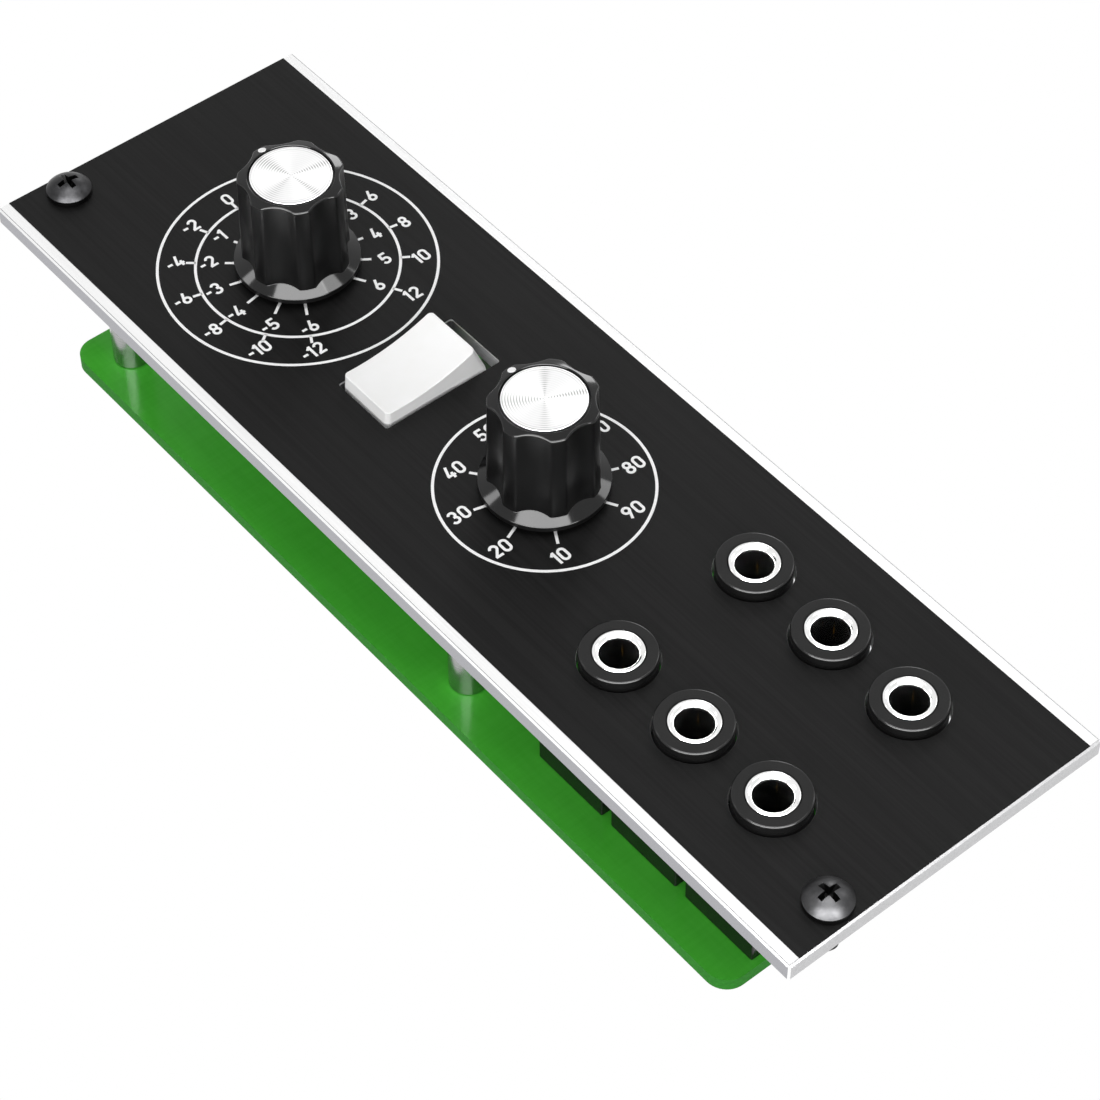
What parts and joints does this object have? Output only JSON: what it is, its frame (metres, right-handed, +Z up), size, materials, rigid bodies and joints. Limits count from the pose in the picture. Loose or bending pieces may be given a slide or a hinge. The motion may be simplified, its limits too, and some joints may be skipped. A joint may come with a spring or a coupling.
{
  "type": "eurorack module",
  "caption": "Narrow rack module: black-faced metal panel with two fluted knobs on printed dials, a white rocker switch and rows of jacks, over a green board on standoffs.",
  "frame": {"origin": "centre of the panel's rear face, where it seats on the rack rails", "axes": "+Z up along the panel's height, +X to the right seen from the front, +Y into the rack; the controls face -Y"},
  "size_m": [0.0404, 0.0392, 0.1284],
  "materials": {
    "panel_metal": "bare milled aluminium, fine grain",
    "panel_black": "satin black coat",
    "white_print": "screen-printed white ink",
    "rack_screw": "black-oxide steel, satin",
    "board_green": "glossy green solder mask over fibreglass",
    "bright_plating": "polished nickel plating",
    "zinc_screw": "zinc-plated steel",
    "pot_case": "tinned steel sheet",
    "pot_track": "phenolic plate with carbon track",
    "pot_bushing": "nickel-plated brass",
    "shaft_metal": "turned aluminium",
    "contact_brass": "spring brass",
    "tinned_leads": "tinned copper",
    "knob_black": "moulded ABS, polished",
    "knob_cap": "spun and lacquered aluminium",
    "rocker_white": "moulded nylon, glossy",
    "switch_black": "moulded nylon",
    "jack_black": "moulded PBT, satin",
    "header_black": "moulded PBT",
    "header_gold": "gold-flashed brass",
    "chip_black": "moulded epoxy",
    "can_metal": "aluminium can",
    "spring_steel": "spring steel"
  },
  "bodies": {
    "module": {"front_panel": "panel_metal", "face_coat": "panel_black", "scale_print": "white_print", "panel_screws": "rack_screw", "main_board": "board_green", "board_standoffs": "bright_plating", "board_screws": "zinc_screw", "switch_frame": "switch_black", "switch_terminals": "contact_brass", "header_shroud": "header_black", "header_pins": "header_gold", "chips": "chip_black", "capacitor_bases": "chip_black", "capacitor_cans": "can_metal", "chip_resistors": "chip_black", "upper_pot_case": "pot_case", "upper_pot_element": "pot_track", "upper_pot_terminals": "tinned_leads", "upper_pot_bushing": "pot_bushing", "lower_pot_case": "pot_case", "lower_pot_element": "pot_track", "lower_pot_terminals": "tinned_leads", "lower_pot_bushing": "pot_bushing", "jack_body_1": "jack_black", "jack_bushing_1": "bright_plating", "jack_contacts_1": "contact_brass", "jack_body_2": "jack_black", "jack_bushing_2": "bright_plating", "jack_contacts_2": "contact_brass", "jack_body_3": "jack_black", "jack_bushing_3": "bright_plating", "jack_contacts_3": "contact_brass", "jack_body_4": "jack_black", "jack_bushing_4": "bright_plating", "jack_contacts_4": "contact_brass", "jack_body_5": "jack_black", "jack_bushing_5": "bright_plating", "jack_contacts_5": "contact_brass", "jack_body_6": "jack_black", "jack_bushing_6": "bright_plating", "jack_contacts_6": "contact_brass"},
    "upper_knob": {"upper_knob_body": "knob_black", "upper_knob_cap": "knob_cap", "upper_knob_pointer": "white_print", "upper_pot_shaft": "shaft_metal", "upper_pot_wiper": "contact_brass"},
    "lower_knob": {"lower_knob_body": "knob_black", "lower_knob_cap": "knob_cap", "lower_knob_pointer": "white_print", "lower_pot_shaft": "shaft_metal", "lower_pot_wiper": "contact_brass"},
    "switch_rocker": {"rocker": "rocker_white", "rocker_plunger": "switch_black", "rocker_spring": "spring_steel"},
    "switch_lever": {"contact_lever": "contact_brass"}
  },
  "joints": [
    {"name": "upper_knob_turn", "type": "hinge", "parent": "module", "child": "upper_knob", "pos_m": [0, 0, 0.03625], "axis": [0, 1, 0], "range_deg": [-150, 150]},
    {"name": "lower_knob_turn", "type": "hinge", "parent": "module", "child": "lower_knob", "pos_m": [0, 0, -0.0054], "axis": [0, 1, 0], "range_deg": [-150, 150]},
    {"name": "rocker_tilt", "type": "hinge", "parent": "module", "child": "switch_rocker", "pos_m": [0, 0.00355, 0.01513], "axis": [0, 0, 1], "range_deg": [0, 17.68]},
    {"name": "lever_tip", "type": "hinge", "parent": "module", "child": "switch_lever", "pos_m": [0, 0.01095, 0.01513], "axis": [0, 0, 1], "range_deg": [-16, 0]}
  ],
  "couplings": [
    {"joint": "lever_tip", "follows": "rocker_tilt", "ratio": -0.9049}
  ]
}
